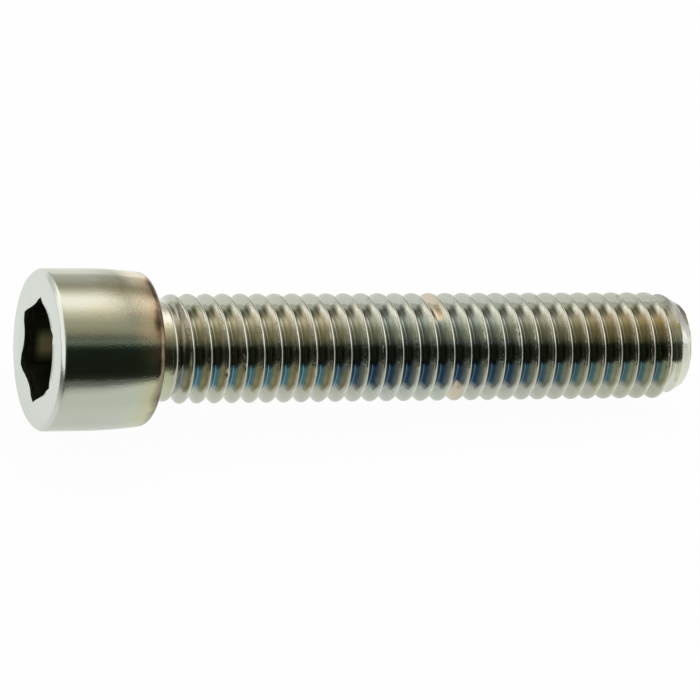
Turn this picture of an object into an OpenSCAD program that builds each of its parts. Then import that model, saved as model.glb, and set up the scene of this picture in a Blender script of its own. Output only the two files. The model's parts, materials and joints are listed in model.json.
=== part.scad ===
// Hex socket cap screw, lying at rest on a flat surface.
// It is one forged piece: a round head with a hexagon socket in its face, a short plain neck,
// and a shank on which the thread is rolled. Lengths are in millimetres.
// The screw lies along X with its head at -X. The origin is under the middle of its length,
// on the surface that it lies on.

/* [Head] */
// Diameter of the head
head_d = 13.74; // [12.4:0.02:15]
// Height of the head, from its face to its bearing face
head_h = 9.35; // [8:0.05:12]
// Width of the bevel round the face
face_bevel = 0.35; // [0.1:0.05:0.8]
// Height, from the face, up to which the side is a true cylinder
straight_h = 3.8; // [2:0.1:5]
// Radius of the long arc on which the side draws in towards the bearing face
side_arc_r = 42; // [25:1:120]
// Radius of the edge between the side and the bearing face
under_edge_r = 0.6; // [0.2:0.05:1.2]

/* [Socket] */
// Width of the hexagon across its flats
key_af = 7.94; // [6:0.02:8.8]
// Depth of the flats
socket_depth = 5; // [4.5:0.1:6]
// Width of the countersink at the mouth, measured out from the middle of a flat
mouth_bevel = 0.28; // [0.1:0.02:0.6]

/* [Shank] */
// Length of the shank, from the bearing face to the tip
shank_l = 49.9; // [20:0.1:90]
// Diameter of the plain neck under the head
neck_d = 8.72; // [8.1:0.02:9]
// Length of the plain neck
neck_l = 1.27; // [0.8:0.01:6]
// Radius of the fillet between the neck and the bearing face
neck_fillet_r = 0.4; // [0.2:0.05:0.8]
// Diameter of the flat end of the tip
tip_d = 7.5; // [6:0.05:8.6]
// Length of the bevel at the tip
tip_bevel_l = 1.8; // [0.6:0.1:2.5]

/* [Thread] */
// Diameter over the crests
thread_d = 9.36; // [9.2:0.02:10]
// Distance from one crest to the next
pitch = 1.5875; // [1.25:0.0125:1.75]
// Turns that the thread takes to rise out of the neck to its full form
run_out = 0.9; // [0.5:0.1:2.5]
// Angle about the screw at which the thread starts
start_angle = 199; // [0:1:359]

/* [Hidden] */
$fn = 72;

// Plated steel, seen in soft light
plating = [0.80, 0.79, 0.74];

// How far a cutter passes the face that it cuts
slack = 1;
// Facets of the long side arc, counted round its whole circle
side_arc_fn = 720;
// Half angle of the countersink and of the cone that ends the socket
cone_half_angle = 60;

// Stations along the screw, from the face of the head
screw_l = head_h + shank_l;
thread_z = head_h + neck_l;
full_thread_end = screw_l - tip_bevel_l;

face_r = head_d / 2 - face_bevel;
head_r = head_d / 2;
neck_r = neck_d / 2;
crest_r = thread_d / 2;
tip_r = tip_d / 2;

// Form of the thread, as shares of the pitch: a flat crest, flanks at 30 degrees to the radius,
// and a root whose middle dips by a twelfth of the sharp thread's height, which rounds it
flank_angle = 30;
crest_share = 1 / 8;
root_share = 1 / 4;
flank_share = (1 - crest_share - root_share) / 2;
root_r = crest_r - flank_share * pitch / tan(flank_angle);
root_dip = pitch / 2 / tan(flank_angle) / 12;

// Corners of one thread, each as its share of the pitch and its radius. The crest that closes
// it ends on the first corner of the next thread.
thread_form = [
  [0, crest_r],
  [flank_share, root_r],
  [flank_share + root_share / 2, root_r - root_dip],
  [flank_share + root_share, root_r],
  [1 - crest_share, crest_r]
];
corners = len(thread_form);

// The thread's mesh starts one turn inside the neck, just under its skin, and ends past the tip
lead_turns = 1;
skin = 0.03;
start_r = neck_r - skin;
turns = ceil((screw_l - thread_z) / pitch) + lead_turns;
// Steps in each turn, fewer on a long screw, so that the thread keeps under its triangles
thread_triangles = 9000;
most_steps = 36;
steps = min(most_steps, floor(thread_triangles / (2 * corners * turns)));
sections = steps * turns;
// Angle of one step. The first section is set so that the middle of a step is at the bottom of
// the lying screw, which then rests on a flat facet and not on a corner.
facet = 360 / steps;
first_angle = facet * (round(start_angle / facet - 1 / 2) + 1 / 2);

// Centre of the side's long arc, in the half section
side_c = [head_r - side_arc_r, straight_h];
// The rounded edge starts a little steeper than the side, so its arc crosses the side's arc
edge_break = 8;
edge_start = asin((head_h - under_edge_r - straight_h) / side_arc_r) + edge_break;
edge_start_h = head_h - under_edge_r * (1 - sin(edge_start));
edge_start_r = side_c[0] + sqrt(side_arc_r ^ 2 - (edge_start_h - straight_h) ^ 2);
edge_c = [edge_start_r - under_edge_r * cos(edge_start), head_h - under_edge_r];

// The screw rests on the side of its head and on the last full crest at its bottom. Its tilt is
// that of the line from that crest that touches the side's long arc.
last_turn = floor((full_thread_end - thread_z) / pitch + first_angle / 360);
rest_z = thread_z + pitch * (last_turn - first_angle / 360);
rest_r = crest_r * cos(facet / 2);
rest_vector = [rest_r, rest_z] - side_c;
tilt = atan2(rest_vector[1], rest_vector[0]) - acos(side_arc_r / norm(rest_vector));
// Height of the head's face, on the screw's axis, and its distance from the middle
face_height = rest_r * cos(tilt) + rest_z * sin(tilt);
face_to_middle = (screw_l * cos(tilt) + (tip_r - face_r) * sin(tilt)) / 2;

// Share of its full form that the thread has reached, a number of turns past the neck
function risen(t) = min(1, max(0, t / run_out));

// Corner j of the thread at section i, with the head's face at z = 0
function thread_point(i, j) =
  let (
    past_neck = i / steps + thread_form[j][0] - lead_turns,
    r = start_r + (thread_form[j][1] - start_r) * risen(past_neck),
    a = first_angle + 360 * i / steps
  )
  [r * cos(a), r * sin(a), thread_z + pitch * past_neck];

// Index of that point. The first corners of all sections come first, then the others.
function point_index(i, j) =
  j == 0 ? i
  : j == corners ? i + steps
  : sections + steps + 1 + i * (corners - 1) + j - 1;

// Rim of the thread's open end at section i: one turn of its first corner, then the form back
function end_rim(i) = concat(
  [for (k = [0:steps]) point_index(i + k, 0)],
  [for (j = [corners - 1:-1:1]) point_index(i, j)]
);

// Triangles that close a rim from a hub on the axis
function fan(hub, rim) = [
  for (k = [0:len(rim) - 1]) [hub, rim[k], rim[(k + 1) % len(rim)]]
];

function reversed(faces) = [for (f = faces) [f[0], f[2], f[1]]];

// Axis point in the middle of the turn that starts at section i
function hub_point(i) = [0, 0, thread_z + pitch * (i / steps + 1 / 2 - lead_turns)];

// Core and thread of the shank in one closed mesh
module thread() {
  start_hub = sections + steps + 1 + (sections + 1) * (corners - 1);
  end_hub = start_hub + 1;
  points = concat(
    [for (i = [0:sections + steps]) thread_point(i, 0)],
    [for (i = [0:sections], j = [1:corners - 1]) thread_point(i, j)],
    [hub_point(0), hub_point(sections)]
  );
  strips = [
    for (i = [0:sections - 1], j = [0:corners - 1])
      let (
        a = point_index(i, j),
        b = point_index(i, j + 1),
        c = point_index(i + 1, j + 1),
        d = point_index(i + 1, j)
      )
      each [[a, b, d], [d, b, c]]
  ];
  polyhedron(points, concat(
    strips,
    fan(start_hub, end_rim(0)),
    reversed(fan(end_hub, end_rim(sections)))
  ));
}

// What the bevelled tip leaves of the shank
module tip_envelope() {
  outer_r = crest_r + slack;
  bevel_slope = tip_bevel_l / (crest_r - tip_r);
  rotate_extrude() polygon([
    [0, 0],
    [outer_r, 0],
    [outer_r, screw_l - (outer_r - tip_r) * bevel_slope],
    [tip_r, screw_l],
    [0, screw_l]
  ]);
}

// Half section of the head, with its face on the X axis. The first shape has the bevel and the
// two stretches of the side, and the second rounds the edge at the bearing face.
module head_section() {
  intersection() {
    union() {
      polygon([
        [0, 0],
        [face_r, 0],
        [head_r, face_bevel],
        [head_r, straight_h],
        [0, straight_h]
      ]);
      intersection() {
        translate(side_c) circle(side_arc_r, $fn = side_arc_fn);
        translate([0, straight_h]) square([head_r + slack, head_h - straight_h]);
      }
    }
    union() {
      square([head_r + slack, edge_c[1]]);
      translate(edge_c) circle(under_edge_r);
      square([edge_c[0], head_h]);
    }
  }
}

// Half section of the neck and its fillet
module neck_section() {
  square([neck_r, thread_z]);
  difference() {
    translate([0, head_h - slack]) square([neck_r + neck_fillet_r, slack + neck_fillet_r]);
    translate([neck_r + neck_fillet_r, head_h + neck_fillet_r]) circle(neck_fillet_r);
  }
}

// Space of the socket, open at the face
module socket() {
  flat_r = key_af / 2;
  corner_r = flat_r / cos(30);
  mouth_r = flat_r + mouth_bevel;
  rotate(30) translate([0, 0, -slack]) cylinder(h = socket_depth + slack, r = corner_r, $fn = 6);
  translate([0, 0, socket_depth])
    cylinder(h = flat_r / tan(cone_half_angle), r1 = flat_r, r2 = 0);
  cylinder(h = mouth_r / tan(cone_half_angle), r1 = mouth_r, r2 = 0);
}

// The screw stands on its head's face here, with its axis on Z. The head is turned by half a
// facet, so that it too rests on a facet when the screw lies down.
module standing_screw() {
  difference() {
    rotate([0, 0, 180 / $fn])
      rotate_extrude() {
        head_section();
        neck_section();
      }
    socket();
  }
  intersection() {
    thread();
    tip_envelope();
  }
}

module cap_screw() {
  color(plating)
    translate([-face_to_middle, 0, face_height])
      rotate([0, 90 + tilt, 0])
        standing_screw();
}

cap_screw();
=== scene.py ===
# %% [markdown]
# # A hex socket cap screw
# The screw is one piece of steel: its head is forged, its thread is rolled between two dies,
# and the whole is plated. The packed CAD part is loaded first. It fixes the size, the place and
# the lie of the screw, and the model made here takes its place without growing out of its box.

# %% Load the packed part
import json
import math

import bmesh
import bpy
from mathutils import Matrix, Vector


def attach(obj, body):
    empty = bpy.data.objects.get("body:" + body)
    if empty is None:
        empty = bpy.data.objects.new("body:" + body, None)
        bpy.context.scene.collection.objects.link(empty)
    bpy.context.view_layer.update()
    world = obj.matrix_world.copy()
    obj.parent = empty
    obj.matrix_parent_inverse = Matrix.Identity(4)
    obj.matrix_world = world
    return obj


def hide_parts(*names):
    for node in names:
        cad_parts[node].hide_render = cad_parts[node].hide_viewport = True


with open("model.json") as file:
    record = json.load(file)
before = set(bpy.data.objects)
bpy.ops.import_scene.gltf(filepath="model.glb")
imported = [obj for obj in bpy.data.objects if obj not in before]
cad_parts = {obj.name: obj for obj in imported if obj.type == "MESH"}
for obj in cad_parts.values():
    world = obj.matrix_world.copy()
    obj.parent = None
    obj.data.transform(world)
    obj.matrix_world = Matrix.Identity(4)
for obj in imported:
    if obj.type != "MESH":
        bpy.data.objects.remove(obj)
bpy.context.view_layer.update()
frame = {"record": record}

# %% [markdown]
# ## Where the screw lies
# The screw leans a little, because it rests on its thick head and on its thin shank. It is
# easier to model upright, along its own axis, and to lay down at the end. The record's mounts
# say where the middle of the face is and which way the axis points. In the screw's own frame
# X points down to the floor, Y is the world's Y, and Z runs along the axis towards the tip.

# %% The screw's own frame
MM = 0.001
mounts = {m["name"]: m for m in frame["record"]["mounts"]}
face_centre = Vector(mounts["key_socket"]["pos_m"])
to_tip = Vector(mounts["thread"]["axis"]).normalized()
sideways = Vector((0, 1, 0))
down = sideways.cross(to_tip)
turn_to_lie = Matrix((down, sideways, to_tip)).transposed()
lay_down = Matrix.Translation(face_centre) @ turn_to_lie.to_4x4()

print("the axis leans", round(math.degrees(math.asin(-to_tip.z)), 2), "degrees")

# %% [markdown]
# ## Sizes
# The radii of the head and of the crests come from the record. The other lengths are those of
# the CAD part. All are in millimetres, and places along the screw count from the head's face.

# %% Driving sizes
head_r = mounts["head"]["dims"]["r_mm"]
crest_r = mounts["thread"]["dims"]["r_mm"]

head_h = 9.35
face_bevel = 0.35
straight_h = 3.8
side_arc_r = 42
under_edge_r = 0.6

key_flat_r = 3.97
socket_depth = 5
mouth_r = 4.25

neck_r = 4.36
neck_l = 1.27
neck_fillet_r = 0.4
screw_l = 59.25
tip_r = 3.75
tip_bevel_l = 1.8

pitch = 1.5875
root_r = 3.82
run_out = 0.9
thread_start = head_h + neck_l
thread_start_turn = 199.29 / 360

print("crest to head:", round(crest_r / head_r, 3), " pitch to crest:", round(pitch / crest_r, 3))

# %% [markdown]
# ## Writing node trees as sums
# A node tree full of Math nodes is hard to read when each node takes three lines. This class
# wraps one output of a node, so that `2 * x + 1` adds the two Math nodes and their links. Every
# other node comes from `Wire.of`, which sets the node up first and then feeds its sockets.

# %% A socket that Python can reckon with
class Wire:
    def __init__(self, tree, socket):
        self.tree, self.socket = tree, socket

    @classmethod
    def of(cls, tree, kind, settings=None, sockets=None, output=0):
        """Adds a node, sets it up, feeds its sockets and gives one of its outputs."""
        node = tree.nodes.new(kind)
        for name, value in (settings or {}).items():
            if name == "stops":
                lay_stops(node.color_ramp, value)
            else:
                setattr(node, name, value)
        for key, value in (sockets or {}).items():
            if isinstance(value, cls):
                tree.links.new(value.socket, node.inputs[key])
            else:
                node.inputs[key].default_value = value
        return cls(tree, node.outputs[output])

    def math(self, operation, *terms, clamp=False):
        settings = {"operation": operation, "use_clamp": clamp}
        return Wire.of(self.tree, "ShaderNodeMath", settings, dict(enumerate(terms)))

    def __add__(self, other): return self.math("ADD", self, other)
    def __radd__(self, other): return self.math("ADD", other, self)
    def __sub__(self, other): return self.math("SUBTRACT", self, other)
    def __rsub__(self, other): return self.math("SUBTRACT", other, self)
    def __mul__(self, other): return self.math("MULTIPLY", self, other)
    def __rmul__(self, other): return self.math("MULTIPLY", other, self)
    def __truediv__(self, other): return self.math("DIVIDE", self, other)
    def __rtruediv__(self, other): return self.math("DIVIDE", other, self)
    def __neg__(self): return self.math("MULTIPLY", self, -1)
    def __pow__(self, other): return self.math("POWER", self, other)

    def sin(self): return self.math("SINE", self)
    def cos(self): return self.math("COSINE", self)
    def frac(self): return self.math("FRACT", self)
    def abs(self): return self.math("ABSOLUTE", self)
    def ping_pong(self, size): return self.math("PINGPONG", self, size)
    def at_least(self, low): return self.math("MAXIMUM", self, low)
    def at_most(self, high): return self.math("MINIMUM", self, high)
    def soft_max(self, other, blend): return self.math("SMOOTH_MAX", self, other, blend)
    def soft_min(self, other, blend): return self.math("SMOOTH_MIN", self, other, blend)

    def step(self, start, end):
        """0 before start and 1 after end, with an even rise between them."""
        return self.math("MULTIPLY", (self - start) / (end - start), 1, clamp=True)


def lay_stops(ramp, stops):
    """Sets a ramp's stops from pairs of a place and a colour."""
    while len(ramp.elements) > 1:
        ramp.elements.remove(ramp.elements[-1])
    for i, (place, colour) in enumerate(stops):
        stop = ramp.elements[0] if i == 0 else ramp.elements.new(place)
        stop.position, stop.color = place, (*colour, 1)


def split(vector):
    """The X, Y and Z of a vector wire."""
    parts = Wire.of(vector.tree, "ShaderNodeSeparateXYZ", {}, {0: vector})
    return [Wire(vector.tree, socket) for socket in parts.socket.node.outputs]


def joined(tree, x, y, z):
    """A vector wire from its X, Y and Z."""
    return Wire.of(tree, "ShaderNodeCombineXYZ", {}, {0: x, 1: y, 2: z})


def noise(tree, vector, scale, detail=2.0):
    """Noise round 0.5. A larger scale makes finer noise, and more detail a rougher one."""
    return Wire.of(tree, "ShaderNodeTexNoise", {},
                   {"Vector": vector, "Scale": scale, "Detail": detail})


print("Wire ready:", sum(name.startswith("__") for name in vars(Wire)), "special methods")

# %% [markdown]
# ## The shank
# A rolled thread has no cut edges: the dies push the steel down into the roots and it flows up
# into rounded crests, where the two flows can leave a fine seam. The thread also rises out of
# the neck over about one turn, and the end is bevelled. All of that follows a rule, so Geometry
# Nodes can bend a flat grid into it. The grid's columns go round the shank and its rows run
# along the helix, so that each row keeps its place on the thread's form and the crests stay
# crisp. One trip round the grid moves a point on by one pitch, and there it meets the next
# turn's rows. Rows before the start and past the tip are held at those planes, which closes
# the ends.

# %% Named inputs of the thread tree
columns = 144
rows_a_turn = 16
thread_tree = bpy.data.node_groups.new("rolled_thread", "GeometryNodeTree")
thread_tree.interface.new_socket("Geometry", in_out="OUTPUT", socket_type="NodeSocketGeometry")


def name_inputs(tree, kind, values):
    """Adds named inputs to a tree and gives the value of each one's identifier."""
    made = {}
    for name, value in values.items():
        item = tree.interface.new_socket(name, in_out="INPUT", socket_type="NodeSocket" + kind)
        made[item.identifier] = value
    return made


lengths = {
    "Pitch": pitch, "Crest radius": crest_r, "Root radius": root_r, "Neck radius": neck_r,
    "Thread start": thread_start, "Run out": run_out,
    "Tube start": head_h + neck_fillet_r + 0.05, "Length": screw_l,
    "Tip radius": tip_r, "Bevel length": tip_bevel_l,
    "Near crest blend": 0.08, "Far crest blend": 0.36, "Root blend": 0.3, "Bevel blend": 0.12,
    "Nick depth": 0.05, "Tip tear": 0.06,
}
settings = name_inputs(thread_tree, "Float", lengths)
settings |= name_inputs(thread_tree, "Int", {"Seed": 7})
group_in = thread_tree.nodes.new("NodeGroupInput")
given = {s.name: Wire(thread_tree, s) for s in group_in.outputs if s.name}
print(len(given), "inputs:", ", ".join(given))

# %% [markdown]
# ### From a flat grid to a helix
# The grid needs enough turns to start just past the neck's fillet and to end past the tip. The
# rows crowd together at the crests and in the roots, where the form bends, and spread out on
# the straight flanks. A sine added to the row number does that.

# %% From grid to helix
TAU = 2 * math.pi
crest_half_share = 1 / 16
crowding = 0.6
tube_start = lengths["Tube start"]
first_crest = thread_start - pitch * (thread_start_turn + crest_half_share)
first_row = first_crest + pitch * math.floor((tube_start - pitch - first_crest) / pitch)
turns = math.ceil((screw_l + pitch - first_row) / pitch)

grid = Wire.of(thread_tree, "GeometryNodeMeshGrid", {}, {
    "Size X": 1, "Size Y": 1, "Vertices X": columns + 1, "Vertices Y": rows_a_turn * turns + 1})
place = Wire.of(thread_tree, "GeometryNodeInputPosition")
across, along, _ = split(place)
share = across + 0.5
turn = (along + 0.5) * turns
turn = turn - (turn * (2 * TAU)).sin() * (crowding / (2 * TAU))
angle = share * TAU
helix_z = (turn + share) * given["Pitch"] + first_row
z = helix_z.at_least(given["Tube start"]).at_most(given["Length"])
print(turns, "turns of", rows_a_turn, "rows and", columns, "columns")

# %% [markdown]
# ### The thread's form
# The form is the lowest of the crest and its two flanks, and the higher of that and the root.
# Soft minimum and soft maximum round the corners, as the rolling does. On this screw the
# rounding reaches further on the side that faces the tip, so the two flanks leave the crest at
# different shares of the pitch. The place past a crest is counted on as far as the middle of
# the root, where both flanks are equally deep, so that it jumps where no one can see it.

# %% Radius at each point
near_share, far_share = 0.03, 0.135
tan_flank = math.tan(math.radians(30))
from_crest = turn.ping_pong(0.5)
root_middle = (1 + far_share - near_share) / 2
past_crest = (turn + (1 - root_middle)).frac() - (1 - root_middle)
near_flank = given["Crest radius"] + (past_crest + near_share) * given["Pitch"] / tan_flank
far_flank = given["Crest radius"] + (far_share - past_crest) * given["Pitch"] / tan_flank
form = given["Crest radius"].soft_min(near_flank, given["Near crest blend"])
form = form.soft_min(far_flank, given["Far crest blend"])
form = form.soft_max(given["Root radius"], given["Root blend"])
risen = (z - given["Thread start"]) / (given["Pitch"] * given["Run out"])
risen = risen.step(0, 1)
threaded = given["Neck radius"] + (form - given["Neck radius"]) * risen

bevel_slope = (given["Crest radius"] - given["Tip radius"]) / given["Bevel length"]
bevel = given["Tip radius"] + (given["Length"] - z) * bevel_slope
radius = threaded.soft_min(bevel, given["Bevel blend"])
print("middle of the root:", round(root_middle, 3), "of a pitch past each crest")

# %% [markdown]
# ### Knocks from handling
# Screws fall on each other, and their crests are what gets hit. The larger knocks each have a
# place of their own, so they are a given list: a crest's number, a share of a turn,
# and the reach and depth in millimetres. A knock is a shallow cone pressed into the form.

# %% Knocks
marks = (
    (4, 0.644, 0.30, 0.16), (3, 0.698, 0.28, 0.12), (20, 0.572, 0.24, 0.10),
    (20, 0.592, 0.26, 0.12), (20, 0.612, 0.2, 0.08), (28.9, 0.462, 0.24, 0.12),
    (28.9, 0.648, 0.22, 0.12), (28.9, 0.69, 0.2, 0.1), (12, 0.63, 0.2, 0.08),
    (26, 0.73, 0.22, 0.1),
)


def knock(crest, share_here, reach, depth):
    """A dent with its centre on a crest, or a share of a pitch past it."""
    off_z = z - (first_crest + pitch * (crest + share_here))
    off_round = (share - share_here) * (TAU * crest_r)
    off = (off_z * off_z + off_round * off_round) ** 0.5
    return (1 - off / reach).at_least(0) * depth


for mark in marks:
    radius = radius - knock(*mark)
print(len(marks), "knocks")

# %% [markdown]
# ### Nicks and the torn tip
# Small nicks lie all along the crests, and the end is a little torn where the bar was cut off.
# Both are noise. Its hills are cut off at a level, so that only the highest leave a mark, and
# masks keep the nicks on the crests and the tear at the tip.

# %% Nicks and the torn tip
seed_step = 31.7
nick_scale, tear_scale, tear_detail = 1.6, 1.1, 3.0
where = joined(thread_tree, angle.cos() * given["Neck radius"],
               angle.sin() * given["Neck radius"], z + given["Seed"] * seed_step)
on_crest = 1 - from_crest.step(0.08, 0.2)
nick = noise(thread_tree, where, nick_scale).step(0.6, 0.74) * on_crest * risen
near_tip = z.step(screw_l - 1.1, screw_l - 0.4)
tear = noise(thread_tree, where, tear_scale, tear_detail).step(0.45, 0.75) * near_tip
radius = radius - nick * given["Nick depth"] - tear * given["Tip tear"]
print("nicks up to", lengths["Nick depth"], "mm and tears up to", lengths["Tip tear"], "mm deep")

# %% [markdown]
# ### Bending and welding
# Now each grid point has its angle, its height and its radius. Past the tip the radius shrinks
# to nothing, which closes the end with a flat face. The points that meet are merged, and the
# tree ends by making its instances real and giving them their material, so that what comes out
# is a plain mesh.

# %% Bend, weld and coat
weld_gap = 0.001
closing = (helix_z - given["Length"]) / given["Pitch"]
radius = radius * (1 - closing.step(0, 1))
bent = Wire.of(thread_tree, "GeometryNodeSetPosition", {}, {
    "Geometry": grid,
    "Position": joined(thread_tree, radius * angle.cos(), radius * angle.sin(), z)})
welded = Wire.of(thread_tree, "GeometryNodeMergeByDistance", {},
                 {"Geometry": bent, "Distance": weld_gap})
real = Wire.of(thread_tree, "GeometryNodeRealizeInstances", {}, {"Geometry": welded})
plating = bpy.data.materials.new("chromated_plating")
coated = Wire.of(thread_tree, "GeometryNodeSetMaterial", {},
                 {"Geometry": real, "Material": plating})
group_out = thread_tree.nodes.new("NodeGroupOutput")
thread_tree.links.new(coated.socket, group_out.inputs[0])
print(len(thread_tree.nodes), "nodes in the tree")

# %% [markdown]
# ### Running the tree
# A tree works as a modifier on an object. Its inputs are set by their identifiers before the
# object is first evaluated, and the result is kept as a mesh, so that no modifier stays.

# %% Grow the shank
def grown(name, tree, values):
    """Runs a tree on an empty mesh and keeps what it makes as a plain mesh."""
    holder = bpy.data.objects.new(name, bpy.data.meshes.new(name))
    bpy.context.scene.collection.objects.link(holder)
    modifier = holder.modifiers.new(name, "NODES")
    modifier.node_group = tree
    for identifier, value in values.items():
        modifier[identifier] = value
    evaluated = holder.evaluated_get(bpy.context.evaluated_depsgraph_get())
    mesh = bpy.data.meshes.new_from_object(evaluated)
    bpy.data.objects.remove(holder)
    return mesh


shank_mesh = grown("shank", thread_tree, settings)
print("shank:", len(shank_mesh.vertices), "points,", len(shank_mesh.polygons), "faces")

# %% [markdown]
# ## The head
# The head is turned round, apart from its hexagon. It could be a Boolean of a turned solid and
# a prism, but a Boolean leaves long thin faces that shade badly on polished metal. Instead the
# head is built from rings with the shank's number of columns, from the bottom of the socket
# over the face and the side to the neck. The rings in the socket follow the hexagon, whose
# corners fall on a column each.

# %% Rings in the socket
column_angles = [TAU * k / columns for k in range(columns)]
cone_slope = 1 / math.tan(math.radians(60))


def hexagon_r(angle):
    """Distance from the axis to the hexagon. Two of its flats lie level."""
    sixth = TAU / 6
    off_flat = (angle + sixth / 2) % sixth - sixth / 2
    return key_flat_r / math.cos(off_flat)


def mouth_z(angle):
    """Depth at which the countersink cuts the hexagon."""
    return max(0, (mouth_r - hexagon_r(angle)) * cone_slope)


def round_ring(radius, z):
    """A ring with the same radius and height at every column."""
    return [(radius, z)] * columns


cone_steps = (0.25, 0.5, 0.75, 1)
socket_rings = [
    round_ring(key_flat_r * t, socket_depth + key_flat_r * (1 - t) * cone_slope)
    for t in cone_steps
]
wall_steps = 5
for step in range(wall_steps + 1):
    up = step / wall_steps
    socket_rings.append([
        (hexagon_r(a), socket_depth + (mouth_z(a) - socket_depth) * up) for a in column_angles
    ])
socket_rings.append([(max(mouth_r, hexagon_r(a)), 0) for a in column_angles])
print(len(socket_rings), "rings in the socket")

# %% [markdown]
# ### The half section of the head
# Outside the socket the rings follow one line, the half section: the face, its bevel, a short
# cylinder, a side that draws in on a long arc, and the bearing face. Forging rounds every
# corner of it, and so does a small function here, with a curve that starts and ends on the two
# straight lines.

# %% Rounded corners and the drawn-in side
def arc_corner(before, corner, after, reach, steps):
    """Points of a smooth curve that cuts a corner, starting at reach from it."""
    start = corner + (before - corner).normalized() * reach
    end = corner + (after - corner).normalized() * reach
    points = []
    for step in range(steps + 1):
        t = step / steps
        points.append(start.lerp(corner, t).lerp(corner.lerp(end, t), t))
    return points


def side_r(z):
    """Radius of the head's side, which draws in on a long arc towards the bearing face."""
    return head_r - side_arc_r + math.sqrt(side_arc_r ** 2 - (z - straight_h) ** 2)


print("the side draws in by", round(head_r - side_r(head_h), 2), "mm")

# %% Corners of the half section
arc_end_z = head_h - under_edge_r - 0.05
face_start = Vector((hexagon_r(TAU / 12), 0))
face_edge = Vector((head_r - face_bevel, 0))
side_start = Vector((head_r, face_bevel))
straight_end = Vector((head_r, straight_h))
arc_end = Vector((side_r(arc_end_z), arc_end_z))
under_corner = Vector((side_r(head_h), head_h))
fillet_corner = Vector((neck_r, head_h))
neck_point = Vector((neck_r, tube_start))
print("face from", round(face_start.x, 2), "to", round(face_edge.x, 2), "mm off the axis")

# %% Points of the half section
face_rounding, bevel_rounding = 0.1, 0.14
straight_stations = (1.0, 1.8, 2.6, 3.2)
side_steps = 12
section = [face_start.lerp(face_edge, t) for t in (0.35, 0.7)]
section += arc_corner(face_start, face_edge, side_start, face_rounding, steps=4)
section += arc_corner(face_edge, side_start, straight_end, bevel_rounding, steps=5)
section += [Vector((head_r, z_here)) for z_here in straight_stations]
for step in range(side_steps + 1):
    z_here = straight_h + (arc_end_z - straight_h) * step / side_steps
    section.append(Vector((side_r(z_here), z_here)))
section += arc_corner(arc_end, under_corner, fillet_corner, under_edge_r, steps=8)
section += arc_corner(under_corner, fillet_corner, neck_point, neck_fillet_r, steps=6)
section.append(neck_point)
print(len(section), "points in the half section")

# %% [markdown]
# ### One closed screw
# The rings join each other with four-sided faces, a pole closes the bottom of the socket, and
# the last ring meets the shank's first one, point for point. Merging those points makes one
# closed shell. A count of open edges shows at once whether something doesn't meet.

# %% Rings to one closed screw
def add_rings(mesh, rings):
    """Adds rings of points to a mesh and joins each one to the next."""
    made = [
        [mesh.verts.new((r * math.cos(a), r * math.sin(a), z))
         for a, (r, z) in zip(column_angles, ring)]
        for ring in rings
    ]
    for low, high in zip(made, made[1:]):
        for k in range(columns):
            after = (k + 1) % columns
            mesh.faces.new((low[k], low[after], high[after], high[k]))
    return made


screw = bmesh.new()
screw.from_mesh(shank_mesh)
head_rings = socket_rings + [round_ring(p.x, p.y) for p in section]
first_ring = add_rings(screw, head_rings)[0]
pole = screw.verts.new((0, 0, socket_depth + key_flat_r * cone_slope))
for k in range(columns):
    screw.faces.new((pole, first_ring[(k + 1) % columns], first_ring[k]))
bmesh.ops.remove_doubles(screw, verts=screw.verts, dist=2 * weld_gap)
bmesh.ops.dissolve_degenerate(screw, edges=screw.edges, dist=weld_gap / 2)
bmesh.ops.recalc_face_normals(screw, faces=screw.faces)
open_edges = sum(not edge.is_manifold for edge in screw.edges)
print("open edges:", open_edges, " volume in mm3:", round(screw.calc_volume(), 1))

# %% [markdown]
# ## Laying the screw down
# The model is in millimetres and upright so far. Its mesh is now scaled to metres and laid
# down, so that the object itself stays at the origin, as the CAD part does. Edges where two
# faces meet at a steep angle, such as the hexagon's, stay sharp.

# %% Lay the screw down
sharp_angle = math.radians(38)
screw_mesh = bpy.data.meshes.new("cap_screw_body")
screw.transform(lay_down @ Matrix.Scale(MM, 4))
screw.to_mesh(screw_mesh)
screw.free()
screw_mesh.shade_smooth()
screw_mesh.set_sharp_from_angle(angle=sharp_angle)
screw_mesh.materials.clear()
screw_mesh.materials.append(plating)


def shown(name, data):
    """Puts a mesh, a lamp or a camera into the scene as an object."""
    made = bpy.data.objects.new(name, data)
    bpy.context.scene.collection.objects.link(made)
    return made


body = shown("cap_screw_body", screw_mesh)
triangles = sum(len(p.vertices) - 2 for p in screw_mesh.polygons)
print("screw:", triangles, "triangles")

# %% [markdown]
# ## Where a spot lies on the screw
# The plating changes along the screw, across each thread and round the shank, so its material
# needs those three places. A Mapping node undoes the lay of the screw and gives millimetres in
# the screw's own frame. From them come the station along the axis, the share of a turn round it
# and the phase, which is 0 on a crest, about 0.5 in the root and 1 on the next crest.

# %% Coordinates of the plating
plating.use_nodes = True
shade = plating.node_tree
spot = Wire.of(shade, "ShaderNodeMapping", {"vector_type": "TEXTURE"}, {
    "Vector": Wire.of(shade, "ShaderNodeTexCoord", {}, {}, "Object"),
    "Location": face_centre, "Rotation": turn_to_lie.to_euler(), "Scale": (MM, MM, MM)})
down_mm, side_mm, station = split(spot)
off_axis = (down_mm * down_mm + side_mm * side_mm) ** 0.5
turned = side_mm.math("ARCTAN2", side_mm, down_mm) / TAU
share_of_turn = turned.frac()
crest_count = (station - first_crest) / pitch - share_of_turn
phase = crest_count.frac()
print("first crest at", round(first_crest, 2), "mm from the face")
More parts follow.
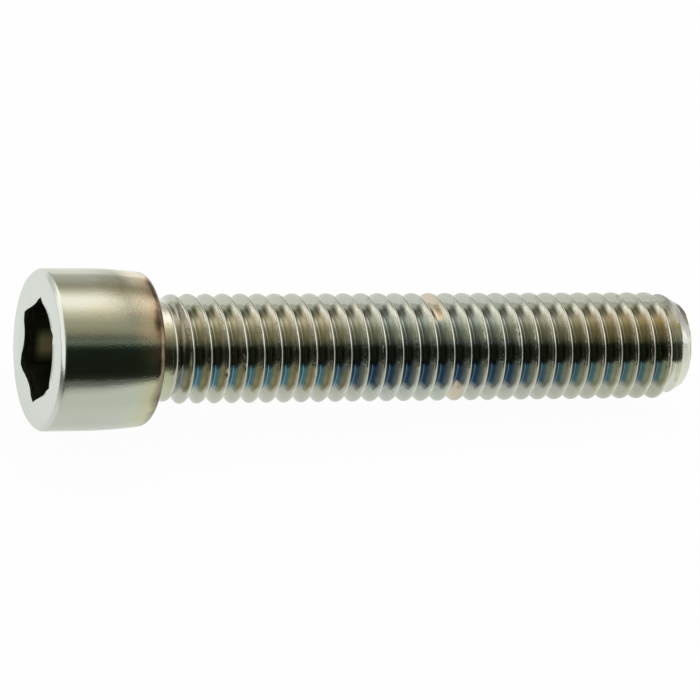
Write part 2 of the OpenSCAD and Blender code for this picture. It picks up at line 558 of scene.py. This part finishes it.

# %% [markdown]
# ## Colours of the plating
# The film on the plating is so thin that light waves in it add up or cancel. Where it dried
# thin it looks like bare metal, and where it ran together it goes through gold, brown, blue
# and teal, as on tempered steel. On a thread it is thinnest on the crest and thickest in the
# root. The palettes also hold painted light: the near white on each crest's tip side is painted
# highlight, and the dark at the foot of each root is painted shade. A band on the lower
# front side has darker palettes, whose darkness is painted shade too. Each palette names the
# colours from one crest to the next, and a ramp lays them out over the phase.

# %% Palettes
across_thread = {
    "crest": 0.0, "rounding": 0.18, "far flank": 0.3, "root edge": 0.42, "root": 0.5,
    "foot": 0.6, "low flank": 0.7, "flank": 0.8, "shoulder": 0.9,
}
# Near white after each crest is painted highlight, and the dark at each root's foot is painted
# shade.
main_palettes_with_painted_light = {
    "olive": ((0.76, 0.74, 0.66), (0.92, 0.91, 0.84), (0.95, 0.95, 0.92), (0.95, 0.95, 0.92),
              (0.80, 0.79, 0.71), (0.20, 0.20, 0.14), (0.38, 0.35, 0.25), (0.40, 0.36, 0.26),
              (0.50, 0.46, 0.36)),
    "slate": ((0.74, 0.76, 0.68), (0.90, 0.92, 0.86), (0.93, 0.95, 0.92), (0.92, 0.95, 0.93),
              (0.74, 0.77, 0.72), (0.09, 0.11, 0.12), (0.22, 0.25, 0.26), (0.34, 0.38, 0.35),
              (0.48, 0.51, 0.46)),
    "bronze": ((0.76, 0.73, 0.62), (0.94, 0.91, 0.80), (0.95, 0.93, 0.88), (0.95, 0.92, 0.84),
               (0.78, 0.74, 0.62), (0.18, 0.17, 0.11), (0.28, 0.25, 0.15), (0.27, 0.23, 0.15),
               (0.40, 0.35, 0.26)),
}
band_palettes_with_painted_light = {
    "olive": ((0.54, 0.51, 0.40), (0.88, 0.90, 0.84), (0.92, 0.93, 0.90), (0.46, 0.58, 0.64),
              (0.22, 0.42, 0.60), (0.06, 0.16, 0.23), (0.13, 0.20, 0.19), (0.29, 0.27, 0.15),
              (0.25, 0.19, 0.10)),
    "slate": ((0.66, 0.65, 0.56), (0.90, 0.90, 0.82), (0.95, 0.93, 0.84), (0.40, 0.46, 0.50),
              (0.16, 0.24, 0.38), (0.015, 0.05, 0.09), (0.02, 0.05, 0.10), (0.09, 0.11, 0.14),
              (0.17, 0.18, 0.17)),
    "bronze": ((0.62, 0.59, 0.47), (0.88, 0.88, 0.80), (0.92, 0.93, 0.88), (0.58, 0.60, 0.62),
               (0.22, 0.32, 0.43), (0.05, 0.12, 0.13), (0.10, 0.17, 0.19), (0.25, 0.31, 0.23),
               (0.27, 0.25, 0.16)),
}
print(len(main_palettes_with_painted_light) + len(band_palettes_with_painted_light), "palettes of", len(across_thread), "colours")

# %% [markdown]
# ### Mixing and masking
# Colours go through Mix nodes and ramps, because a Math node would turn them grey. A mask is a
# value from 0 to 1 that says where a colour lies, and a wash is one flat tint laid over what is
# there already, as strongly as its mask says.

# %% Mixing and masking
def flat(colour):
    """A colour as a socket takes it, with full alpha."""
    return (*colour, 1)


def blend(factor, low, high):
    """Low where the factor is 0 and high where it is 1, for colours."""
    return Wire.of(factor.tree, "ShaderNodeMix", {"data_type": "RGBA"},
                   {0: factor, 6: low, 7: high}, 2)


def washed(under, mask, tint):
    """A colour with a flat tint over it where the mask is 1."""
    return blend(mask, under, flat(tint))


def laid_over(factor, stops):
    """A ramp from pairs of a place and a colour."""
    return Wire.of(factor.tree, "ShaderNodeValToRGB", {"stops": stops}, {0: factor})


def within(value, low, high, blur):
    """1 between low and high, and 0 outside them."""
    return value.step(low - blur, low + blur) * (1 - value.step(high - blur, high + blur))


nickel, straw, tan = (0.66, 0.67, 0.60), (0.66, 0.60, 0.44), (0.46, 0.44, 0.35)
painted_shade_black, peach, gold = (0.05, 0.05, 0.04), (0.74, 0.61, 0.48), (0.97, 0.80, 0.38)
print("plain metal:", nickel, " darkest tint:", painted_shade_black)

# %% [markdown]
# ### Three palettes along the shank
# The thread is olive near the head, slate in the middle and bronze near the tip. One passes
# into the next over several threads, and slow noise moves the places where it does so, because
# a change at one station all round would look like a painted ring.

# %% Palettes along the shank
olive_to_slate, slate_to_bronze = (24, 30), (40, 50)
wander_scale, wander_reach = 0.35, 12


def laid_over_phase(colours):
    """A ramp from one crest to the next, through a palette's colours."""
    return laid_over(phase, list(zip(across_thread.values(), colours)) + [(1.0, colours[0])])


def along_shank(palettes):
    """Olive near the head, slate in the middle and bronze near the tip."""
    wandered = station + (noise(shade, spot, wander_scale) - 0.5) * wander_reach
    olive, slate, bronze = (laid_over_phase(palettes[k]) for k in ("olive", "slate", "bronze"))
    near_half = blend(wandered.step(*olive_to_slate), olive, slate)
    return blend(wandered.step(*slate_to_bronze), near_half, bronze)


print("olive up to", olive_to_slate[0], "mm and bronze from", slate_to_bronze[1], "mm")

# %% [markdown]
# ### The darker band on the low side
# On a band of the lower front side, darker and bluer palettes hold. Their blue and teal are the
# film's, and their darkness is painted shade. The band reaches further round in the roots than
# on the crests, so it is wider there and ends in teeth.

# %% The band on the low side
low_side_start, low_side_end, run_on = 0.678, 0.756, 0.045
start_blur, end_blur = 0.006, 0.012
in_root = 1 - (phase - 0.62).abs().step(0.18, 0.28)
toothed_share = share_of_turn - in_root * run_on
# The band's palettes add painted shade to the film's blue.
blue_band_with_painted_shade = share_of_turn.step(low_side_start - start_blur, low_side_start + start_blur)
blue_band_with_painted_shade = blue_band_with_painted_shade * (1 - toothed_share.step(low_side_end - end_blur, low_side_end + end_blur))
thread_colour = blend(blue_band_with_painted_shade, along_shank(main_palettes_with_painted_light), along_shank(band_palettes_with_painted_light))
print("the low side spans", round(360 * (low_side_end - low_side_start)), "degrees")

# %% [markdown]
# ### Painted dark lines and root shade
# Along the shank's line that faces the camera, the crests and the flanks before them are painted
# near black as a dark reflection. Along the top, the roots are painted dark as shade. All three
# are the same near black, so their masks are joined first, and the strongest one counts.

# %% Painted dark lines and root shade
dark_line_share = 0.637
from_line = (share_of_turn - dark_line_share).abs()
ridge = phase.ping_pong(0.5)
# Painted dark reflection on the crests along the line that faces the camera.
painted_dark_crests = (1 - from_line.step(0.07, 0.13)) * 0.3 + (1 - from_line.step(0.005, 0.035)) * 0.58
painted_dark_crests = painted_dark_crests * (1 - ridge.step(0.05, 0.11))
painted_dark_flanks = within(phase, 0.68, 0.92, 0.03) * (1 - from_line.step(0.01, 0.04)) * 0.55
# Painted shade in the roots along the top.
painted_root_shade = within(phase, 0.46, 0.79, 0.05) * within(share_of_turn, 0.45, 0.512, 0.014) * 0.7
thread_colour = washed(thread_colour, painted_dark_crests.at_least(painted_dark_flanks).at_least(painted_root_shade), painted_shade_black)
print("painted dark line at", round(360 * dark_line_share), "degrees round the screw")

# %% [markdown]
# ### Washes on the thread
# The upper flanks have a painted highlight line, the first turn is pale where it rises out of the
# neck, and the top and the underside are nearly bare metal. Towards the tip the far flanks turn
# gold.
# Each is a mask, a strength and a tint, so a loop lays them on one after the other.

# %% Washes on the thread
# A painted highlight line along the upper flanks.
painted_highlight_line = within(phase, 0.80, 0.94, 0.03) * within(share_of_turn, 0.476, 0.510, 0.014)
first_turn = 1 - station.step(11.2, 12.6)
top_side = 1 - share_of_turn.step(0.45, 0.475)
underside = share_of_turn.step(0.765, 0.80)
gilt = station.step(50, 56) * within(phase, 0.22, 0.52, 0.05)
gilt = gilt * within(share_of_turn, 0.51, 0.56, 0.02)
thread_washes = (
    (painted_highlight_line, 0.85, (0.94, 0.93, 0.87)),
    (first_turn, 0.65, (0.60, 0.59, 0.53)),
    (top_side, 0.75, (0.62, 0.64, 0.57)),
    (underside, 0.6, (0.66, 0.67, 0.59)),
    (gilt, 0.7, gold),
)
for mask, strength, tint in thread_washes:
    thread_colour = washed(thread_colour, mask * strength, tint)
print(len(thread_washes), "washes on the thread")

# %% [markdown]
# ### Two stained crests
# Near the middle one crest is stained peach on its upper part, and the next one on its lower
# part. The count of crests goes on without a jump all along the helix, so it finds them.

# %% Stained crests
upper_stain = within(crest_count, 15.62, 15.95, 0.04) * (1 - share_of_turn.step(0.52, 0.54))
lower_stain = within(crest_count, 16.6, 16.95, 0.04) * share_of_turn.step(0.755, 0.77)
thread_colour = washed(thread_colour, (upper_stain + lower_stain) * 0.85, peach)
print("stains before crests 16 and 17")

# %% [markdown]
# ## Colour of the head
# The head's side is smooth, so its film shows as clouds and not as bands. Straw clouds lie on
# nickel, the upper side turns tan towards the shank, and the lower side stays clear. Slow noise
# makes the clouds, and a finer one frays the edge of the tan.

# %% Clouds on the head
clear_nickel = (0.66, 0.69, 0.62)
tan_start, tan_end, tan_fray = 3.6, 6.4, 2.5
upper = 1 - share_of_turn.step(0.52, 0.575)
lower = share_of_turn.step(0.64, 0.70)
slow_cloud = noise(shade, spot, 0.22, 3.0)
fine_cloud = noise(shade, spot, 1.3, 3.0)
head_colour = washed(flat(nickel), slow_cloud.step(0.45, 0.7) * 0.6, straw)
tan_share = (station + (fine_cloud - 0.5) * tan_fray).step(tan_start, tan_end) * upper
head_colour = washed(head_colour, tan_share, tan)
head_colour = washed(head_colour, lower, clear_nickel)
print("the tan sets in between", tan_start, "and", tan_end, "mm from the face")

# %% [markdown]
# ### The shoulder and the face
# Where the side draws in, the film goes through sand and peach, and at the edge of the bearing
# face it runs into dark brown, which is painted shade where the head meets the shank. The lower
# part does so later. The face was ground, so it is plain white metal.

# %% Shoulder and face
shoulder_start, shoulder_end, shoulder_fray = 6.0, 9.2, 1.5
face_white, face_end = (0.74, 0.765, 0.73), 0.3
frayed = station + (noise(shade, spot, 0.5) - 0.5) * shoulder_fray
over_shoulder = frayed.step(shoulder_start, shoulder_end)
# Both ramps end in painted shade at the edge of the bearing face.
upper_tints_and_shade = laid_over(over_shoulder, [
    (0.0, (0.68, 0.63, 0.51)), (0.3, (0.82, 0.74, 0.59)), (0.6, (0.97, 0.84, 0.66)),
    (0.76, (0.94, 0.74, 0.56)), (0.88, (0.36, 0.25, 0.17)), (1.0, (0.10, 0.07, 0.04))])
lower_tints_and_shade = laid_over(over_shoulder, [
    (0.0, (0.66, 0.69, 0.61)), (0.3, (0.68, 0.70, 0.58)), (0.7, (0.68, 0.66, 0.48)),
    (1.0, (0.18, 0.14, 0.10))])
shoulder_tints_and_shade = blend(lower, upper_tints_and_shade, lower_tints_and_shade)
head_colour = blend(frayed.step(6.2, 7.4), head_colour, shoulder_tints_and_shade)
on_face = 1 - station.step(face_end, face_end + 0.1)
head_colour = washed(head_colour, on_face, face_white)
print("shoulder tints from", shoulder_start, "to", shoulder_end, "mm from the face")

# %% [markdown]
# ## One colour for the whole screw
# Masks along the axis choose between the head, the neck, the thread and the bevel at the tip.
# The neck runs from near white at the top over gold to green, and the bevel from grey to a
# warm white, each with the share of a turn. Their ends come from the sizes.

# %% Head, neck, thread and bevel
bevel_start = screw_l - tip_bevel_l
past_head = station.step(head_h - 0.05, head_h + 0.15)
past_neck = station.step(thread_start - 0.12, thread_start + 0.58)
past_bevel = station.step(bevel_start - 0.15, bevel_start + 0.35)
on_neck = station.step(head_h - 0.05, head_h + 0.05) * (1 - past_neck)
neck_tints = laid_over(share_of_turn, [
    (0.5, (0.97, 0.94, 0.91)), (0.57, (0.86, 0.80, 0.68)), (0.63, (0.66, 0.55, 0.36)),
    (0.70, (0.60, 0.64, 0.42)), (0.80, (0.66, 0.68, 0.52))])
bevel_grey, bevel_white = (0.42, 0.41, 0.38), (0.82, 0.81, 0.72)
bevel_tints = blend(share_of_turn.step(0.54, 0.63), flat(bevel_grey), flat(bevel_white))
colour = blend(past_head, head_colour, thread_colour)
colour = blend(on_neck, colour, neck_tints)
colour = blend(past_bevel, colour, bevel_tints)
print("the bevel starts at", round(bevel_start, 2), "mm")

# %% [markdown]
# ### The socket
# The socket's walls are painted dark, as shade in the recess, and a painted patch of light lies
# on one wall. The walls are found by their distance from the axis, which stays just above that of
# the hexagon's corners.

# %% Colour of the socket
# Dark walls are painted shade; the gold patch on one wall is painted light.
socket_painted_shade, painted_glint_gold = (0.12, 0.13, 0.09), (0.95, 0.84, 0.50)
in_socket = station.step(0.2, 0.9) * (1 - off_axis.step(4.6, 4.62)) * (1 - station.step(7.6, 7.8))
painted_glint = within(station, 1.4, 2.9, 0.35) * within(share_of_turn, 0.105, 0.185, 0.02) * in_socket
colour = blend(in_socket, colour, washed(flat(socket_painted_shade), painted_glint, painted_glint_gold))
print("the hexagon's corners are", round(hexagon_r(TAU / 12), 2), "mm off the axis")

# %% [markdown]
# ## Gloss and grain
# Plating is glossy but not a perfect mirror. It is least sharp in the socket and on the neck,
# and the far flanks are slightly matt. A little grain breaks up the reflections. It is only
# micrometres high, so a Bump node makes it. The coarser marks change the outline, and so they
# are in the mesh.

# %% Roughness
grain = noise(shade, spot, 3.4, 3.0)
far_flank_matt = within(phase, 0.10, 0.42, 0.06) * past_head * (1 - on_neck)
polished, uneven = 0.08, 0.04
rough = polished + grain * uneven
for mask, added in ((on_face, 0.08), (on_neck, 0.12), (in_socket, 0.25), (painted_glint, 0.2),
                    (far_flank_matt, 0.1)):
    rough = rough + mask * added
print("roughness from", polished, "up")

# %% Grain
grain_distance = 5e-6
along_crest = 1 - (phase - 0.95).abs().step(0.08, 0.16)
head_grain = noise(shade, spot, 6.5, 2.0) * (1 - past_head)
crest_grain = noise(shade, spot, 5.5, 2.0) * along_crest * past_head
height_map = grain * 0.5 + head_grain * 1.4 + crest_grain * 4.5
bump = Wire.of(shade, "ShaderNodeBump", {},
               {"Height": height_map, "Distance": grain_distance, "Strength": 1.0})
print("grain of a few times", round(grain_distance * 1e6), "micrometres")

# %% Feed the shader
shader = shade.nodes["Principled BSDF"]
shader.inputs["Metallic"].default_value = 1
for name, wire in {"Base Color": colour, "Roughness": rough, "Normal": bump}.items():
    shade.links.new(wire.socket, shader.inputs[name])
print(len(shade.nodes), "nodes in the plating")

# %% [markdown]
# ## The floor
# The floor is plain and pale. Polished metal has hardly a colour of its own, and shows what is
# round it, so the floor is also half of the screw's look. A Light Path node tells who looks:
# the camera sees a white floor with a faint shadow, and the metal sees pale paper behind the
# screw, duller paper before it, and the dark past the paper's edge. That dark gives the crests
# their dark lines. To the lamp's light the floor is plain matt grey.

# %% Floor
floor_reach = 3
corners = [(-floor_reach, -floor_reach, 0), (floor_reach, -floor_reach, 0),
           (floor_reach, floor_reach, 0), (-floor_reach, floor_reach, 0)]
floor_mesh = bpy.data.meshes.new("floor")
floor_mesh.from_pydata(corners, [], [(0, 1, 2, 3)])
floor_paint = bpy.data.materials.new("floor_paint")
floor_paint.use_nodes = True
floor_mesh.materials.append(floor_paint)
floor = shown("floor", floor_mesh)
print("floor:", 2 * floor_reach, "m wide")

# %% What the metal sees in the floor
pale_paper, dull_paper, dark = (0.90, 0.93, 0.90), (0.66, 0.69, 0.62), (0.02, 0.03, 0.02)
white, matt_grey = (1, 1, 1), (0.6, 0.6, 0.6)
edge_start, edge_end, edge_slant = -0.076, -0.044, 0.9
paint = floor_paint.node_tree
paint.nodes.clear()
to_camera = Wire.of(paint, "ShaderNodeLightPath", {}, {}, "Is Camera Ray")
to_gloss = Wire(paint, to_camera.socket.node.outputs["Is Glossy Ray"])
to_glass = Wire(paint, to_camera.socket.node.outputs["Is Transmission Ray"])
floor_x, floor_y, _ = split(Wire.of(paint, "ShaderNodeTexCoord", {}, {}, "Object"))
behind = floor_y.step(-0.015, -0.002)
paper = blend(behind, flat(dull_paper), flat(pale_paper))
on_paper = (floor_y + floor_x * edge_slant).step(edge_start, edge_end)
paper = blend(on_paper, flat(dark), paper)
paper = washed(paper, to_camera, white)
print("the paper ends", round(-1000 * edge_end), "mm before the middle of the screw")

# %% Mix the paint
most_white = 0.97
matt = Wire.of(paint, "ShaderNodeBsdfDiffuse", {}, {"Color": flat(matt_grey)})
glow = Wire.of(paint, "ShaderNodeEmission", {}, {"Color": paper, "Strength": 1})
seen = (to_camera * most_white + (to_gloss + to_glass) * 0.8).at_most(most_white)
mixed = Wire.of(paint, "ShaderNodeMixShader", {}, {0: seen, 1: matt, 2: glow})
paint_out = paint.nodes.new("ShaderNodeOutputMaterial")
paint.links.new(mixed.socket, paint_out.inputs[0])
print(len(paint.nodes), "nodes in the floor's paint")

# %% [markdown]
# ## The studio
# The rest of what the metal shows is the studio's soft light. It is a world of bands that run
# along the screw: one number, the angle from the horizon before the screw over the top to the
# horizon behind it, goes through a ramp. Wide bright bands stand for soft boxes, and dark gaps
# between them give the metal its contrast. The angles are in degrees.

# %% Bands of light
middle_sky = [
    (0, (0.020, 0.028, 0.018)), (12, (0.010, 0.014, 0.009)), (45, (0.012, 0.018, 0.012)),
    (50, (0.05, 0.07, 0.05)), (54, (0.17, 0.21, 0.17)), (60, (0.12, 0.13, 0.10)),
    (66, (0.24, 0.23, 0.17)), (73, (0.36, 0.35, 0.25)), (85, (0.46, 0.45, 0.33)),
    (97, (0.75, 0.71, 0.55)), (103, (1.0, 0.96, 0.78)), (110, (1.22, 1.18, 1.05)),
    (118, (1.3, 1.26, 1.18)), (124, (1.24, 1.2, 1.1)), (131, (0.94, 0.9, 0.76)),
    (139, (0.58, 0.56, 0.44)), (148, (0.38, 0.36, 0.28)), (157, (0.44, 0.44, 0.37)),
    (180, (0.6, 0.6, 0.55)),
]
tip_sky = [
    (0, (0.030, 0.032, 0.022)), (45, (0.030, 0.034, 0.022)), (50, (0.08, 0.09, 0.07)),
    (54, (0.21, 0.23, 0.18)), (66, (0.30, 0.29, 0.22)), (73, (0.33, 0.32, 0.24)),
    (85, (0.33, 0.33, 0.25)), (97, (0.40, 0.38, 0.30)), (103, (0.50, 0.47, 0.38)),
    (110, (0.62, 0.59, 0.50)), (118, (0.68, 0.65, 0.58)), (124, (0.64, 0.61, 0.53)),
    (131, (0.42, 0.40, 0.33)), (139, (0.24, 0.23, 0.18)), (148, (0.16, 0.16, 0.12)),
    (157, (0.22, 0.22, 0.18)), (180, (0.45, 0.45, 0.40)),
]
head_sky = [
    (0, (0.025, 0.032, 0.020)), (8, (0.03, 0.04, 0.028)), (45, (0.03, 0.045, 0.03)),
    (52, (0.14, 0.17, 0.13)), (60, (0.30, 0.31, 0.24)), (73, (0.40, 0.39, 0.29)),
    (85, (0.46, 0.45, 0.35)), (97, (0.70, 0.67, 0.54)), (110, (1.10, 1.06, 0.92)),
    (125, (1.35, 1.30, 1.15)), (139, (1.35, 1.32, 1.16)), (157, (0.72, 0.73, 0.65)),
    (180, (0.60, 0.61, 0.56)),
]
tip_end_sky = [
    (0, (0.50, 0.51, 0.50)), (35, (0.62, 0.63, 0.62)), (67, (1.0, 1.01, 1.0)),
    (93, (1.2, 1.21, 1.2)), (117, (1.5, 1.52, 1.5)), (143, (0.95, 0.96, 0.95)),
    (180, (0.9, 0.91, 0.9)),
]
print("bands:", len(middle_sky), len(tip_sky), len(head_sky), len(tip_end_sky), "stops")

# %% [markdown]
# A surface that leans towards the head or the tip mirrors another part of the studio, so the
# bands change along the screw too. The smooth head needs its own, the flanks of the thread see
# those near the tip, and each end of the studio has a bright wall. The wall at the tip's end
# makes the white streak behind each crest.

# %% World
world = bpy.data.worlds.new("studio")
bpy.context.scene.world = world
world.use_nodes = True
studio = world.node_tree
studio.nodes.clear()
to_x, to_y, to_z = split(Wire.of(studio, "ShaderNodeTexCoord", {}, {}, "Generated"))
height = to_z.math("ARCTAN2", to_z, to_y * -1) / math.pi


def strip(stops):
    """A ramp over the height, from stops in degrees."""
    return laid_over(height, [(degrees / 180, light) for degrees, light in stops])


head_wall = (1.05, 1.05, 1.03)
low_part = 1 - height.step(60 / 180, 85 / 180)
light = blend((to_x - low_part * 0.07).step(0.41, 0.50), strip(middle_sky), strip(tip_sky))
light = blend(to_x.step(-0.1, 0.1), strip(head_sky), light)
light = washed(light, (-to_x).step(0.66, 0.84), head_wall)
light = blend(to_x.step(0.66, 0.86), light, strip(tip_end_sky))
back = Wire.of(studio, "ShaderNodeBackground", {}, {"Color": light, "Strength": 1})
studio_out = studio.nodes.new("ShaderNodeOutputWorld")
studio.links.new(back.socket, studio_out.inputs[0])
print(len(studio.nodes), "nodes in the studio")

# %% [markdown]
# ## The lamp
# One soft disc of light above and behind the screw throws the faint shadow. The metal already
# mirrors the studio's bands, so it doesn't see the lamp.

# %% Lamp
lamp_data = bpy.data.lights.new("soft_lamp", "AREA")
lamp_data.shape = "DISK"
lamp_data.size = 0.6
lamp_data.energy = 6
lamp = shown("soft_lamp", lamp_data)
lamp.location = (0.1, 0.25, 0.9)
lamp.rotation_euler = (Vector((0, 0, 0)) - lamp.location).to_track_quat("-Z", "Y").to_euler()
lamp.visible_glossy = False
print("lamp", round(lamp.location.length, 2), "m from the screw")

# %% [markdown]
# ## The camera
# A long lens looks from far away, a little towards the face of the head, so that the socket
# shows. The view is given from the camera: how far the screw's axis is turned and tipped as
# seen, where it passes and how far away it is. The axis as seen and the same axis in the world
# then give the camera's turn. Lengths are in millimetres.

# %% Where the screw lies in the picture
image_px, focal_px = 700, 4722.873
sensor_mm = 36
distance = 401.527
axis_x, axis_y = -14.6363, 0.1031
yaw, pitch_up = math.radians(21.7929), math.radians(0.4206)
face_station = -12.597
camera_height = math.radians(45)
seen_axis = Vector((math.cos(yaw) * math.cos(pitch_up), math.sin(pitch_up),
                    -math.sin(yaw) * math.cos(pitch_up)))
seen_near = Vector((math.sin(yaw), 0, math.cos(yaw)))
seen_up = (-seen_axis).cross(seen_near)
seen_axes = Matrix((seen_axis, seen_near, seen_up)).transposed()
lens_mm = sensor_mm * focal_px / image_px
print("seen from", round(distance), "mm away, through a lens of", round(lens_mm), "mm")

# %% Turn and place of the camera
near = math.cos(camera_height) * -sideways - math.sin(camera_height) * down
over = (-to_tip).cross(near)
world_axes = Matrix((to_tip, near, over)).transposed()
aim = world_axes @ seen_axes.transposed()
aim = Matrix([column.normalized() for column in aim.transposed()]).transposed()
axis_point = face_centre - to_tip * face_station * MM
away = aim @ Vector((-axis_x, -axis_y, distance)) * MM
camera_data = bpy.data.cameras.new("camera")
camera_data.sensor_width = sensor_mm
camera_data.lens = lens_mm
camera_data.clip_start, camera_data.clip_end = 0.05, 20
camera = shown("camera", camera_data)
camera.matrix_world = Matrix.Translation(axis_point + away) @ aim.to_4x4()
bpy.context.scene.camera = camera
bpy.context.scene.view_settings.view_transform = "Standard"
print("camera at", [round(c, 3) for c in camera.matrix_world.translation])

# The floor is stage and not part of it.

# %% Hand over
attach(body, "root")
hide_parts("cap_screw")
